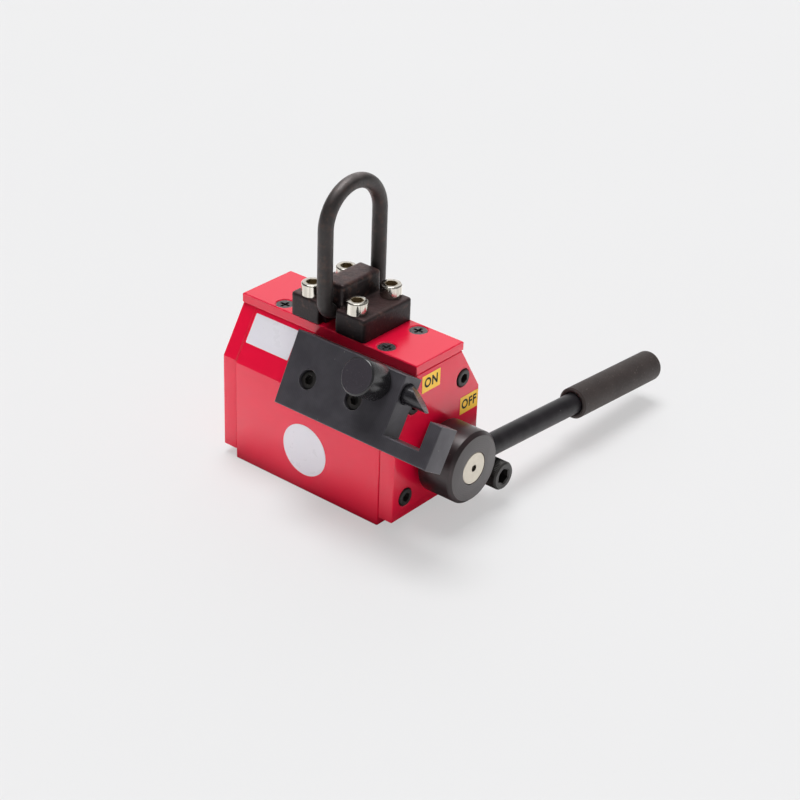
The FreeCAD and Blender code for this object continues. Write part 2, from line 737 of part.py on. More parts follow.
# Latch bolt: round bar with a nose bevelled square to the path of the lever's rod.
bolt = new_body("latch_bolt", on_shoulder("0", "bolt_rise", bolt_lift), "off shoulder")
section = new_sketch(bolt, "YZ_Plane", "bolt_tail")
draw_circle(section, "0", "0", "bolt_diameter / 2")
pad(bolt, section, "bolt_length")
bevel = new_sketch(bolt, "XY_Plane")
bevel_turn = FreeCAD.Rotation(Vector(1, 0, 0), -value("bolt_bevel_turn"))
bevel.AttachmentOffset = FreeCAD.Placement(Vector(), bevel_turn)
bind(bevel, AttachmentOffset__Rotation__Angle="-bolt_bevel_turn")
draw_polygon(bevel, [
    ("bolt_tip", "bolt_nose - bolt_diameter / 2"),
    ("bolt_tip", "bolt_diameter / 2"),
    ("bolt_tip - bolt_bevel", "bolt_diameter / 2"),
])
pocket(bolt, bevel, "2 * bolt_diameter")
stud_hole = "stud_diameter / 2 + thread_clearance"
drill(bolt, ("knob_place", "0", "-stud_sink"), "+z", stud_hole, "bolt_diameter")

# Knob with its stud, turned in one piece.
knob = new_body("latch_knob", on_shoulder("knob_place", "bolt_rise", bolt_lift), "off shoulder")
knob_face = "latch_thickness / 2 + knob_clearance"
knob_end = "latch_thickness / 2 + knob_length"
revolve(knob, "XZ_Plane", "V_Axis", [
    ("0", "thread_clearance - stud_sink"),
    ("stud_diameter / 2", "thread_clearance - stud_sink"),
    ("stud_diameter / 2", knob_face),
    ("knob_diameter / 2 - knob_chamfer", knob_face),
    ("knob_diameter / 2", f"{knob_face} + knob_chamfer"),
    ("knob_diameter / 2", f"{knob_end} - knob_chamfer"),
    ("knob_diameter / 2 - knob_chamfer", knob_end),
    ("0", knob_end),
])

# Coil spring of square wire between the blind end of the bore and the bolt's tail.
spring = new_body("latch_spring", on_shoulder("bolt_bore_end", "bolt_rise", bolt_lift), "off shoulder")
wire = new_sketch(spring, "XY_Plane")
coil_outside = "bolt_diameter / 2 - knob_clearance"
coil_inside = f"{coil_outside} - spring_wire"
draw_polygon(wire, [
    ("thread_clearance", coil_inside),
    ("thread_clearance + spring_wire", coil_inside),
    ("thread_clearance + spring_wire", coil_outside),
    ("thread_clearance", coil_outside),
])
coil = spring.newObject("PartDesign::AdditiveHelix", "spring_coil")
coil.Profile = wire
coil.ReferenceAxis = (wire, ["H_Axis"])
coil.Mode = "height-turns-angle"
bind(coil, Height="spring_room - spring_wire - 2 * thread_clearance", Turns="spring_turns")

# Turning core: two steel halves with a magnet between them.
LEVER_SEAT = ("0", "0", "axis_height")
SCREW_RADIUS = THREAD_HOLE.format("rotor_screw")
SCREW_DEPTH = "rotor_screw_length - journal_flange_thickness + blind_clearance"
far = "rotor_diameter"
slab = "rotor_magnet_thickness / 2"
for label, gone in (
    ("front_rotor_core", [(f"-{slab}", far)]),
    ("rear_rotor_core", [(f"-{far}", slab)]),
    ("rotor_magnet", [(f"-{far}", f"-{slab}"), (slab, far)]),
):
    core = new_body(label, LEVER_SEAT, "lever")
    section = new_sketch(core, "YZ_Plane")
    draw_circle(section, "0", "0", "rotor_diameter / 2")
    pad(core, section, "2 * core_half", "Symmetric")
    for start, end in gone:
        rest = new_sketch(core, "YZ_Plane")
        draw_polygon(rest, [(start, f"-{far}"), (end, f"-{far}"), (end, far), (start, far)])
        pocket(core, rest, "2 * core_half")
    if label == "rotor_magnet":
        continue
    side = -1 if label == "front_rotor_core" else 1
    for (z,) in signs("rotor_screw_rise"):
        for x, along in (("-core_half", "+x"), ("core_half", "-x")):
            drill(core, (x, f"{side} * rotor_screw_offset", z), along, SCREW_RADIUS, SCREW_DEPTH)

# Flanged journals: a stub at the left, the drive shaft at the right.
left_journal = new_body("left_journal", LEVER_SEAT, "lever")
revolve(left_journal, "XY_Plane", "H_Axis", [
    ("-pole_half - journal_stub_length", "0"),
    ("-pole_half - journal_stub_length", "shaft_diameter / 2 - shaft_chamfer"),
    ("-pole_half - journal_stub_length + shaft_chamfer", "shaft_diameter / 2"),
    ("-flange_face", "shaft_diameter / 2"),
    ("-flange_face", "journal_flange_diameter / 2"),
    ("-core_half", "journal_flange_diameter / 2"),
    ("-core_half", "0"),
])
drive_shaft = new_body("drive_shaft", LEVER_SEAT, "lever")
revolve(drive_shaft, "XY_Plane", "H_Axis", [
    ("core_half", "0"),
    ("core_half", "journal_flange_diameter / 2"),
    ("flange_face", "journal_flange_diameter / 2"),
    ("flange_face", "shaft_diameter / 2"),
    ("hub_outer - shaft_chamfer", "shaft_diameter / 2"),
    ("hub_outer", "shaft_diameter / 2 - shaft_chamfer"),
    ("hub_outer", "0"),
])
drill(drive_shaft, ("hub_outer", "0", "0"), "-x", "centre_hole_diameter / 2", "centre_hole_depth")
spigot_hole = "rod_spigot / 2 + thread_clearance"
drill(drive_shaft, ("rod_place", "rod_seat", "0"), "+y", spigot_hole, "shaft_diameter / 2")
for journal, x, along in ((left_journal, "-flange_face", "+x"), (drive_shaft, "flange_face", "-x")):
    for y, z in signs("rotor_screw_offset", "rotor_screw_rise"):
        sink_hole(journal, (x, y, z), along, "rotor_screw", "journal_flange_thickness")
rotor_screw = sunk_screw("rotor_screw", "rotor_screw")
rotor_seats = [
    ((x, y, z), along)
    for x, along in (("-flange_face", "-x"), ("flange_face", "+x"))
    for y, z in signs("rotor_screw_offset", "rotor_screw_rise")
]
group("rotor_screws", rotor_screw, rotor_seats, LEVER_SEAT, "lever")

# Bronze bearings in the end plates, the right one with a thrust flange for the hub.
journal_bore = "shaft_diameter / 2 + running_clearance"
left_bush = new_body("left_bush", LEVER_SEAT)
revolve(left_bush, "XY_Plane", "H_Axis", [
    ("-pole_half - left_bush_length", journal_bore),
    ("-pole_half", journal_bore),
    ("-pole_half", "bush_radius"),
    ("-pole_half - left_bush_length", "bush_radius"),
])
right_bush = new_body("right_bush", LEVER_SEAT)
revolve(right_bush, "XY_Plane", "H_Axis", [
    ("pole_half", journal_bore),
    ("hub_inner - end_play", journal_bore),
    ("hub_inner - end_play", "bush_radius + bush_lip"),
    ("end_face", "bush_radius + bush_lip"),
    ("end_face", "bush_radius"),
    ("pole_half", "bush_radius"),
])

# Lever: drum on the shaft, rod screwed through it into the shaft, grip on the rod.
hub = new_body("lever_hub", LEVER_SEAT, "lever")
hub_bore = "shaft_diameter / 2 + thread_clearance"
revolve(hub, "XY_Plane", "H_Axis", [
    ("hub_inner", hub_bore),
    ("hub_inner", "hub_diameter / 2 - seam_chamfer"),
    ("hub_inner + seam_chamfer", "hub_diameter / 2"),
    ("hub_outer - hub_chamfer", "hub_diameter / 2"),
    ("hub_outer", "hub_diameter / 2 - hub_chamfer"),
    ("hub_outer", hub_bore),
])
rod_hole = "rod_diameter / 2 + thread_clearance"
drill(hub, ("rod_place", "0", "0"), "+y", rod_hole, "hub_diameter / 2")
ROD_SEAT = ("rod_place", "0", "axis_height")
rod = new_body("lever_rod", ROD_SEAT, "lever")
rod_shoulder = "shaft_diameter / 2 + 2 * thread_clearance"
revolve(rod, "XY_Plane", "V_Axis", [
    ("0", "rod_seat + thread_clearance"),
    ("rod_spigot / 2", "rod_seat + thread_clearance"),
    ("rod_spigot / 2", rod_shoulder),
    ("rod_diameter / 2", rod_shoulder),
    ("rod_diameter / 2", "rod_end"),
    ("0", "rod_end"),
])
grip = new_body("lever_grip", ROD_SEAT, "lever")
grip_end = "grip_start + grip_length"
revolve(grip, "XY_Plane", "V_Axis", [
    ("0", "rod_end + thread_clearance"),
    (rod_hole, "rod_end + thread_clearance"),
    (rod_hole, "grip_start + grip_lip"),
    (f"{rod_hole} + grip_lip", "grip_start"),
    ("grip_radius - grip_lip", "grip_start"),
    ("grip_radius", "grip_start + grip_lip"),
    ("grip_radius", grip_end),
    ("0", grip_end),
])
dress(grip, "Fillet", "grip_round", lambda edge: flat_at(edge, "Y", value(grip_end)))

# Stop screw in the right end plate: the lever rests on its head when off.
stop_seat = ("stop_underhead", "stop_reach", "stop_height")
stop_length = "stop_underhead - pole_half - thread_clearance"
cap_screw("lever_stop_screw", "stop_screw", stop_length, stop_seat, "+x", keep=True)

doc.recompute()
for thing in doc.Objects:
    if {"Invalid", "Error"} & set(thing.State):
        raise RuntimeError(f"{thing.Name} did not build: {thing.State}")
    if thing.TypeId.startswith(("PartDesign::Subtractive", "PartDesign::Pocket")):
        if thing.Shape.Volume >= thing.BaseFeature.Shape.Volume:
            raise RuntimeError(f"{thing.Name} cuts nothing")
for part in parts:
    if part.Shape.isNull() or not part.Shape.isValid() or not part.Shape.Solids:
        raise RuntimeError(f"{part.Label} has no valid solid")
os.makedirs("parts", exist_ok=True)
for part in parts:
    part.Shape.exportStep(f"parts/{part.Label}.step")
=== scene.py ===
import json
import math

import bmesh
import bpy
from mathutils import Matrix, Vector


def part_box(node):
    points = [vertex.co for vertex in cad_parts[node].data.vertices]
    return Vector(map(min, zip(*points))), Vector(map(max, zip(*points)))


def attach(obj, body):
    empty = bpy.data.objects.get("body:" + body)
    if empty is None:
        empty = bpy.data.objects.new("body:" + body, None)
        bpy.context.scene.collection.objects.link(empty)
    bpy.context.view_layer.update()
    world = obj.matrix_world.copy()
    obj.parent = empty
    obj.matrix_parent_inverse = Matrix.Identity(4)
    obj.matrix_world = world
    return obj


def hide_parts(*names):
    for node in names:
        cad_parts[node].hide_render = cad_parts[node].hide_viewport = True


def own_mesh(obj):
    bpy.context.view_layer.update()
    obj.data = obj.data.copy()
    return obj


# Looks of the permanent magnetic lifter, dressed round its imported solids.
# Metres, in the solids' own frame: X towards the lever, Y to the rear, Z up.
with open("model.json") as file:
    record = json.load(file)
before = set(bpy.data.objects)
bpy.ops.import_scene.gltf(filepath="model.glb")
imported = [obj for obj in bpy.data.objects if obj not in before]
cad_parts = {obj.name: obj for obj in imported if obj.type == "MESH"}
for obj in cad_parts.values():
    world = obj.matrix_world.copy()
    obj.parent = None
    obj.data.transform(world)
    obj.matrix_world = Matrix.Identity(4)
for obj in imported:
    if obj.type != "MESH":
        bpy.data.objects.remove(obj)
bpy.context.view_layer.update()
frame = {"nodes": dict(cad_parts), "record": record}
MM = 0.001
# Sockets of a mix node by number: how much of B it takes, then A and B as numbers and as colours.
SHARE, NUMBER_A, NUMBER_B, COLOUR_A, COLOUR_B = 0, 2, 3, 6, 7
MIXED_NUMBER, MIXED_COLOUR = 0, 2


def linear(code):
    """Linear colour of an sRGB hex value."""
    channels = [int(code[i:i + 2], 16) / 255 for i in (1, 3, 5)]
    return [c / 12.92 if c <= 0.04045 else ((c + 0.055) / 1.055) ** 2.4 for c in channels] + [1.0]


def connect(tree, node, inputs):
    """Give each of a node's sockets a value or a link."""
    for socket, given in inputs.items():
        if isinstance(given, bpy.types.NodeSocket):
            tree.links.new(given, node.inputs[socket])
        else:
            node.inputs[socket].default_value = given


def add(tree, kind, inputs=None, **settings):
    """Add a shader node: its settings, then its sockets, each with a value or a link."""
    new = tree.nodes.new(kind)
    for name, setting in settings.items():
        setattr(new, name, setting)
    connect(tree, new, inputs or {})
    return new


def wave_scale(pitch):
    """Scale of a wave texture whose lines lie one pitch apart."""
    return math.pi / 10 / pitch


def new_finish(name):
    """A node material's tree, its shader and the piece's own coordinates."""
    material = bpy.data.materials.new(name)
    material.use_nodes = True
    tree = material.node_tree
    place = add(tree, "ShaderNodeTexCoord").outputs["Object"]
    return material, tree, tree.nodes["Principled BSDF"], place


def worn_edges(tree, place, width, patch):
    """Mask of the edges that hands and chains rub: broken up by patches of the given size."""
    rounded = add(tree, "ShaderNodeBevel", {"Radius": width}, samples=4).outputs["Normal"]
    face = add(tree, "ShaderNodeNewGeometry").outputs["Normal"]
    same = add(tree, "ShaderNodeVectorMath", {0: rounded, 1: face}, operation="DOT_PRODUCT")
    edge = add(tree, "ShaderNodeMapRange", {
        "Value": same.outputs["Value"], "From Min": 0.99, "From Max": 0.84,
    })
    patches = add(tree, "ShaderNodeTexNoise", {"Vector": place, "Scale": 1 / patch, "Detail": 4.0})
    rubbed = add(tree, "ShaderNodeMapRange", {
        "Value": patches.outputs["Fac"], "From Min": 0.40, "From Max": 0.62,
    })
    both = {0: edge.outputs["Result"], 1: rubbed.outputs["Result"]}
    return add(tree, "ShaderNodeMath", both, operation="MULTIPLY").outputs["Value"]


def red_enamel():
    """Sprayed semi-gloss enamel: faint orange peel, worn edges lightened to pink as a painted highlight,
    bare steel on the holding face.
    """
    material, tree, shader, place = new_finish("sprayed red enamel on steel")
    cloud = add(tree, "ShaderNodeTexNoise", {"Vector": place, "Scale": 1 / (35 * MM), "Detail": 2.0})
    paint = add(tree, "ShaderNodeMix", {
        SHARE: cloud.outputs["Fac"], COLOUR_A: linear("#E40E3A"), COLOUR_B: linear("#DB0C35"),
    }, data_type="RGBA")
    wear = worn_edges(tree, place, 0.5 * MM, 7 * MM)
    # Worn edges take a lighter pink: partly worn paint, partly a painted highlight along the edges.
    worn_paint_and_edge_highlight = add(tree, "ShaderNodeMix", {
        SHARE: wear, COLOUR_A: paint.outputs[MIXED_COLOUR], COLOUR_B: linear("#E8687E"),
    }, data_type="RGBA")
    height = add(tree, "ShaderNodeSeparateXYZ", {0: place}).outputs["Z"]
    ground = add(tree, "ShaderNodeMapRange", {
        "Value": height, "From Min": 0.25 * MM, "From Max": 0.15 * MM,
    }).outputs["Result"]
    along = add(tree, "ShaderNodeMapping", {"Vector": place, "Scale": (0.04, 1.0, 1.0)})
    grinding = add(tree, "ShaderNodeTexNoise", {
        "Vector": along.outputs["Vector"], "Scale": 1 / (0.5 * MM), "Detail": 3.0,
    })
    steel = add(tree, "ShaderNodeMix", {
        SHARE: grinding.outputs["Fac"], COLOUR_A: linear("#8E8C88"), COLOUR_B: linear("#C2C0BC"),
    }, data_type="RGBA")
    colour = add(tree, "ShaderNodeMix", {
        SHARE: ground, COLOUR_A: worn_paint_and_edge_highlight.outputs[MIXED_COLOUR], COLOUR_B: steel.outputs[MIXED_COLOUR],
    }, data_type="RGBA")
    # Orange peel of a spray gun, about 1.4 mm from dimple to dimple.
    peel = add(tree, "ShaderNodeTexNoise", {"Vector": place, "Scale": 1 / (1.4 * MM), "Detail": 1.0})
    gloss = add(tree, "ShaderNodeMapRange", {
        "Value": cloud.outputs["Fac"], "From Min": 0.3, "From Max": 0.7, "To Min": 0.17, "To Max": 0.25,
    })
    rough = add(tree, "ShaderNodeMix", {
        SHARE: ground, NUMBER_A: gloss.outputs["Result"], NUMBER_B: 0.34,
    })
    bump = add(tree, "ShaderNodeBump", {
        "Height": peel.outputs["Fac"], "Strength": 0.12, "Distance": 0.05 * MM,
    })
    connect(tree, shader, {
        "Base Color": colour.outputs[MIXED_COLOUR], "Metallic": ground,
        "Roughness": rough.outputs[MIXED_NUMBER], "Normal": bump.outputs["Normal"],
        "Specular IOR Level": 0.44,
    })
    return material


def blackened_steel(name, base, tint, roughness, lines=None, bare="#A3A19D", wear_width=0.45,
                    sheen=0.5, grain_depth=0.25, faced=None):
    """Machined steel, chemically blackened and oiled: soft sheen, tool marks, edges rubbed bright."""
    material, tree, shader, place = new_finish(name)
    cloud = add(tree, "ShaderNodeTexNoise", {"Vector": place, "Scale": 1 / (9 * MM), "Detail": 5.0})
    spread = add(tree, "ShaderNodeMapRange", {
        "Value": cloud.outputs["Fac"], "From Min": 0.36, "From Max": 0.66,
    })
    oxide = add(tree, "ShaderNodeMix", {
        SHARE: spread.outputs["Result"], COLOUR_A: linear(base), COLOUR_B: linear(tint),
    }, data_type="RGBA")
    if faced:
        # Painted light: the end face, picked out by which way it faces, is painted a lighter oxide than
        # the sides, standing in for the light it catches.
        facing, painted_lit_face = faced
        normal = add(tree, "ShaderNodeNewGeometry").outputs["Normal"]
        turned_to = add(tree, "ShaderNodeVectorMath", {0: normal, 1: facing}, operation="DOT_PRODUCT")
        end = add(tree, "ShaderNodeMapRange", {
            "Value": turned_to.outputs["Value"], "From Min": 0.93, "From Max": 0.97,
        })
        oxide = add(tree, "ShaderNodeMix", {
            SHARE: end.outputs["Result"],
            COLOUR_A: oxide.outputs[MIXED_COLOUR], COLOUR_B: linear(painted_lit_face),
        }, data_type="RGBA")
    bare_share = 0.7
    wear = worn_edges(tree, place, wear_width * MM, 5 * MM)
    # Small dings where the block has been knocked, about 0.7 mm across.
    knocks = add(tree, "ShaderNodeTexNoise", {"Vector": place, "Scale": 1 / (2.6 * MM), "Detail": 2.0})
    ding = add(tree, "ShaderNodeMapRange", {
        "Value": knocks.outputs["Fac"], "From Min": 0.77, "From Max": 0.79,
    })
    bright = add(tree, "ShaderNodeMath", {
        0: wear, 1: ding.outputs["Result"],
    }, operation="MAXIMUM").outputs["Value"]
    worn = add(tree, "ShaderNodeMath", {0: bright, 1: bare_share}, operation="MULTIPLY").outputs["Value"]
    colour = add(tree, "ShaderNodeMix", {
        SHARE: worn, COLOUR_A: oxide.outputs[MIXED_COLOUR], COLOUR_B: linear(bare),
    }, data_type="RGBA")
    # Grain of the oxide, finer in truth and drawn at 0.6 mm so that it shows.
    grain = add(tree, "ShaderNodeTexNoise", {"Vector": place, "Scale": 1 / (0.6 * MM), "Detail": 3.0})
    uneven = 0.28 * grain_depth
    gloss = add(tree, "ShaderNodeMapRange", {
        "Value": grain.outputs["Fac"], "From Min": 0.25, "From Max": 0.75,
        "To Min": roughness - uneven, "To Max": roughness + uneven,
    })
    bump = add(tree, "ShaderNodeBump", {
        "Height": grain.outputs["Fac"], "Strength": grain_depth, "Distance": 0.03 * MM,
    })
    if lines:
        turned = add(tree, "ShaderNodeMapping", {
            "Vector": place, "Location": lines["centre"], "Rotation": lines["turn"],
        }, vector_type="TEXTURE")
        marks = add(tree, "ShaderNodeTexWave", {
            "Vector": turned.outputs["Vector"], "Scale": wave_scale(lines["pitch"]),
            "Distortion": 0.6, "Detail": 2.0, "Detail Scale": 0.4,
        }, wave_type=lines["kind"], bands_direction=lines["axis"], rings_direction=lines["axis"])
        bump = add(tree, "ShaderNodeBump", {
            "Height": marks.outputs["Fac"], "Normal": bump.outputs["Normal"],
            "Strength": lines["strength"], "Distance": 0.02 * MM,
        })
        tone = add(tree, "ShaderNodeMapRange", {
            "Value": marks.outputs["Fac"], "To Min": 1 - lines["tone"], "To Max": 1 + lines["tone"],
        })
        colour = add(tree, "ShaderNodeMix", {
            SHARE: 1.0, COLOUR_A: colour.outputs[MIXED_COLOUR], COLOUR_B: tone.outputs["Result"],
        }, data_type="RGBA", blend_type="MULTIPLY")
    metal = add(tree, "ShaderNodeMapRange", {"Value": worn, "To Min": 0.2, "To Max": 1.0})
    connect(tree, shader, {
        "Base Color": colour.outputs[MIXED_COLOUR], "Metallic": metal.outputs["Result"],
        "Roughness": gloss.outputs["Result"], "Normal": bump.outputs["Normal"],
        "Specular IOR Level": sheen,
    })
    return material


def forged_scale(name, base, tint, top_dust_and_highlight, rust_start, rust_full, rust_share):
    """Forged bar and block under dull mill scale: pitted, with rust that grows between two heights."""
    material, tree, shader, place = new_finish(name)
    cloud = add(tree, "ShaderNodeTexNoise", {"Vector": place, "Scale": 1 / (7 * MM), "Detail": 6.0})
    scale = add(tree, "ShaderNodeMix", {
        SHARE: cloud.outputs["Fac"], COLOUR_A: linear(base), COLOUR_B: linear(tint),
    }, data_type="RGBA")
    height = add(tree, "ShaderNodeSeparateXYZ", {0: place}).outputs["Z"]
    rise = add(tree, "ShaderNodeMapRange", {
        "Value": height, "From Min": rust_start, "From Max": rust_full, "To Min": 0.62, "To Max": 0.46,
    })
    bloom = add(tree, "ShaderNodeTexNoise", {"Vector": place, "Scale": 1 / (4 * MM), "Detail": 6.0})
    over = add(tree, "ShaderNodeMath", {
        0: bloom.outputs["Fac"], 1: rise.outputs["Result"],
    }, operation="SUBTRACT")
    rust = add(tree, "ShaderNodeMapRange", {
        "Value": over.outputs["Value"], "From Min": -0.06, "From Max": 0.14,
        "To Min": 0.0, "To Max": rust_share,
    })
    bare_share = 0.45
    wear = worn_edges(tree, place, 0.8 * MM, 4 * MM)
    rusted = add(tree, "ShaderNodeMix", {
        SHARE: rust.outputs["Result"],
        COLOUR_A: scale.outputs[MIXED_COLOUR], COLOUR_B: linear("#5C3F35"),
    }, data_type="RGBA")
    rubbed = add(tree, "ShaderNodeMath", {0: wear, 1: bare_share}, operation="MULTIPLY")
    colour = add(tree, "ShaderNodeMix", {
        SHARE: rubbed.outputs["Value"],
        COLOUR_A: rusted.outputs[MIXED_COLOUR], COLOUR_B: linear("#77716E"),
    }, data_type="RGBA")
    # Upward faces take a lighter colour: partly dust and wear on top, partly a painted highlight where
    # the overhead light falls.
    facing = add(tree, "ShaderNodeNewGeometry").outputs["Normal"]
    upward = add(tree, "ShaderNodeSeparateXYZ", {0: facing}).outputs["Z"]
    top = add(tree, "ShaderNodeMapRange", {
        "Value": upward, "From Min": 0.55, "From Max": 0.95, "To Min": 0.0, "To Max": 0.8,
    })
    top_dust_and_highlight_share = add(tree, "ShaderNodeMath", {
        0: top.outputs["Result"], 1: cloud.outputs["Fac"],
    }, operation="MULTIPLY")
    colour = add(tree, "ShaderNodeMix", {
        SHARE: top_dust_and_highlight_share.outputs["Value"],
        COLOUR_A: colour.outputs[MIXED_COLOUR], COLOUR_B: linear(top_dust_and_highlight),
    }, data_type="RGBA")
    # Hammered scale: lumps of 1.1 mm with pits about 1.6 mm apart.
    lumps = add(tree, "ShaderNodeTexNoise", {"Vector": place, "Scale": 1 / (1.1 * MM), "Detail": 4.0})
    pits = add(tree, "ShaderNodeTexVoronoi", {"Vector": place, "Scale": 1 / (1.6 * MM)})
    relief = add(tree, "ShaderNodeMath", {
        0: lumps.outputs["Fac"], 1: pits.outputs["Distance"],
    }, operation="ADD")
    # Edges of the forging are soft, as the die left them.
    soft = add(tree, "ShaderNodeBevel", {"Radius": 2.2 * MM}, samples=8).outputs["Normal"]
    bump = add(tree, "ShaderNodeBump", {
        "Height": relief.outputs["Value"], "Normal": soft, "Strength": 0.45, "Distance": 0.12 * MM,
    })
    gloss = add(tree, "ShaderNodeMapRange", {
        "Value": lumps.outputs["Fac"], "From Min": 0.3, "From Max": 0.7, "To Min": 0.38, "To Max": 0.56,
    })
    connect(tree, shader, {
        "Base Color": colour.outputs[MIXED_COLOUR], "Metallic": 0.25,
        "Roughness": gloss.outputs["Result"], "Normal": bump.outputs["Normal"],
        "Specular IOR Level": 0.35,
    })
    return material


def bright_metal(name, base, shade, roughness, pitch=None, centre=(0, 0, 0), axis="X"):
    """Bare turned or plated metal: bright, with a fine grain and, where turned, rings about an axis."""
    material, tree, shader, place = new_finish(name)
    cloud = add(tree, "ShaderNodeTexNoise", {"Vector": place, "Scale": 1 / (4 * MM), "Detail": 4.0})
    colour = add(tree, "ShaderNodeMix", {
        SHARE: cloud.outputs["Fac"], COLOUR_A: linear(base), COLOUR_B: linear(shade),
    }, data_type="RGBA")
    grain = add(tree, "ShaderNodeTexNoise", {"Vector": place, "Scale": 1 / (0.5 * MM), "Detail": 2.0})
    gloss = add(tree, "ShaderNodeMapRange", {
        "Value": grain.outputs["Fac"], "From Min": 0.3, "From Max": 0.7,
        "To Min": roughness * 0.8, "To Max": roughness * 1.2,
    })
    bump = add(tree, "ShaderNodeBump", {
        "Height": grain.outputs["Fac"], "Strength": 0.1, "Distance": 0.02 * MM,
    })
    if pitch:
        turned = add(tree, "ShaderNodeMapping", {
            "Vector": place, "Location": centre,
        }, vector_type="TEXTURE")
        rings = add(tree, "ShaderNodeTexWave", {
            "Vector": turned.outputs["Vector"], "Scale": wave_scale(pitch), "Distortion": 0.3,
        }, wave_type="RINGS", rings_direction=axis)
        bump = add(tree, "ShaderNodeBump", {
            "Height": rings.outputs["Fac"], "Normal": bump.outputs["Normal"],
            "Strength": 0.3, "Distance": 0.02 * MM,
        })
    connect(tree, shader, {
        "Base Color": colour.outputs[MIXED_COLOUR], "Metallic": 1.0,
        "Roughness": gloss.outputs["Result"], "Normal": bump.outputs["Normal"],
    })
    return material


def stainless_heads():
    """Bright stainless cap screws: clean sides and tops, oil and dirt left in the sockets."""
    material, tree, shader, place = new_finish("bright stainless steel with dirty sockets")
    far_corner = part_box("saddle_screws")[1]
    head_radius = 6.0 * MM
    socket_clean, socket_dirty = 3.75 * MM, 3.5 * MM
    # The four screws lie alike about the middle, so one axis serves when place is folded over.
    axis = (far_corner.x - head_radius, far_corner.y - head_radius, 0.0)
    folded = add(tree, "ShaderNodeVectorMath", {0: place}, operation="ABSOLUTE")
    local = add(tree, "ShaderNodeVectorMath", {
        0: folded.outputs["Vector"], 1: axis,
    }, operation="SUBTRACT")
    flat = add(tree, "ShaderNodeVectorMath", {
        0: local.outputs["Vector"], 1: (1.0, 1.0, 0.0),
    }, operation="MULTIPLY")
    radius = add(tree, "ShaderNodeVectorMath", {0: flat.outputs["Vector"]}, operation="LENGTH")
    socket = add(tree, "ShaderNodeMapRange", {
        "Value": radius.outputs["Value"], "From Min": socket_clean, "From Max": socket_dirty,
    })
    dirt = add(tree, "ShaderNodeTexNoise", {"Vector": place, "Scale": 1 / (2 * MM), "Detail": 4.0})
    oil = add(tree, "ShaderNodeMix", {
        SHARE: dirt.outputs["Fac"], COLOUR_A: linear("#473B2D"), COLOUR_B: linear("#A08C69"),
    }, data_type="RGBA")
    down = add(tree, "ShaderNodeMapping", {"Vector": place, "Scale": (1.0, 1.0, 0.04)})
    streaks = add(tree, "ShaderNodeTexNoise", {
        "Vector": down.outputs["Vector"], "Scale": 1 / (1.3 * MM), "Detail": 3.0,
    })
    drawn = add(tree, "ShaderNodeMapRange", {
        "Value": streaks.outputs["Fac"], "From Min": 0.35, "From Max": 0.65,
    })
    steel = add(tree, "ShaderNodeMix", {
        SHARE: drawn.outputs["Result"], COLOUR_A: linear("#A39E95"), COLOUR_B: linear("#C4C0B8"),
    }, data_type="RGBA")
    colour = add(tree, "ShaderNodeMix", {
        SHARE: socket.outputs["Result"],
        COLOUR_A: steel.outputs[MIXED_COLOUR], COLOUR_B: oil.outputs[MIXED_COLOUR],
    }, data_type="RGBA")
    smear = add(tree, "ShaderNodeMapRange", {
        "Value": dirt.outputs["Fac"], "From Min": 0.3, "From Max": 0.7, "To Min": 0.10, "To Max": 0.22,
    })
    rings = add(tree, "ShaderNodeTexWave", {
        "Vector": flat.outputs["Vector"], "Scale": wave_scale(0.9 * MM),
    }, wave_type="RINGS", rings_direction="Z")
    bump = add(tree, "ShaderNodeBump", {
        "Height": rings.outputs["Fac"], "Strength": 0.12, "Distance": 0.02 * MM,
    })
    clean = add(tree, "ShaderNodeMapRange", {
        "Value": socket.outputs["Result"], "To Min": 1.0, "To Max": 0.25,
    })
    connect(tree, shader, {
        "Base Color": colour.outputs[MIXED_COLOUR], "Metallic": clean.outputs["Result"],
        "Roughness": smear.outputs["Result"], "Normal": bump.outputs["Normal"],
    })
    return material


def grip_rubber():
    """Moulded rubber grip: matt brown-black with a fine pebble and pale dust rubbed into it."""
    material, tree, shader, place = new_finish("matt moulded rubber")
    cloud = add(tree, "ShaderNodeTexNoise", {"Vector": place, "Scale": 1 / (12 * MM), "Detail": 3.0})
    rubber = add(tree, "ShaderNodeMix", {
        SHARE: cloud.outputs["Fac"], COLOUR_A: linear("#2B2524"), COLOUR_B: linear("#3E3634"),
    }, data_type="RGBA")
    specks = add(tree, "ShaderNodeTexNoise", {"Vector": place, "Scale": 1 / (1.5 * MM), "Detail": 3.0})
    dust = add(tree, "ShaderNodeMapRange", {
        "Value": specks.outputs["Fac"], "From Min": 0.62, "From Max": 0.78,
        "To Min": 0.0, "To Max": 0.45,
    })
    colour = add(tree, "ShaderNodeMix", {
        SHARE: dust.outputs["Result"],
        COLOUR_A: rubber.outputs[MIXED_COLOUR], COLOUR_B: linear("#7C7570"),
    }, data_type="RGBA")
    pebble = add(tree, "ShaderNodeTexNoise", {"Vector": place, "Scale": 1 / (0.8 * MM), "Detail": 3.0})
    bump = add(tree, "ShaderNodeBump", {
        "Height": pebble.outputs["Fac"], "Strength": 0.35, "Distance": 0.06 * MM,
    })
    gloss = add(tree, "ShaderNodeMapRange", {
        "Value": specks.outputs["Fac"], "From Min": 0.3, "From Max": 0.7, "To Min": 0.55, "To Max": 0.72,
    })
    connect(tree, shader, {
        "Base Color": colour.outputs[MIXED_COLOUR], "Roughness": gloss.outputs["Result"],
        "Normal": bump.outputs["Normal"], "Specular IOR Level": 0.25,
    })
    return material


